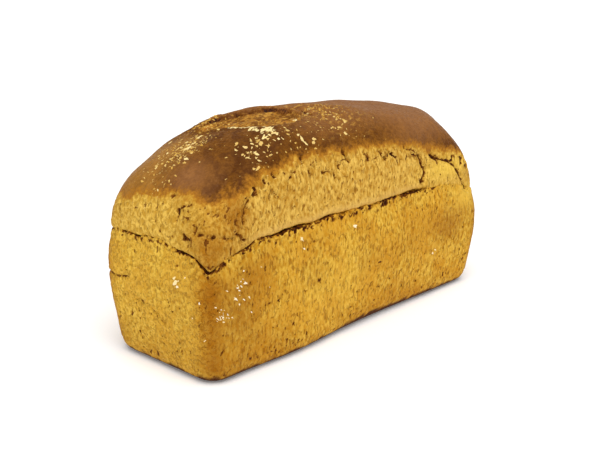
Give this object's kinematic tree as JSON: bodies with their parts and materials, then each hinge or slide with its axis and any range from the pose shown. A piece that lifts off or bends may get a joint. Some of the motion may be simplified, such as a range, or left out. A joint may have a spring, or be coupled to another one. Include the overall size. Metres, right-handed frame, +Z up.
{
  "type": "tin loaf",
  "caption": "Whole uncut tin loaf of spelt bread with a domed, cracked crown, a slash across it and baked bran flakes.",
  "frame": {"origin": "middle of the flat base that the loaf stands on", "axes": "+Z up out of the crown, +X along the loaf's length, -Y out of the long wall with the open crack"},
  "size_m": [0.2523, 0.0947, 0.1355],
  "materials": {
    "crust": "matte"
  },
  "bodies": {
    "root": {"loaf": "crust"}
  },
  "joints": []
}
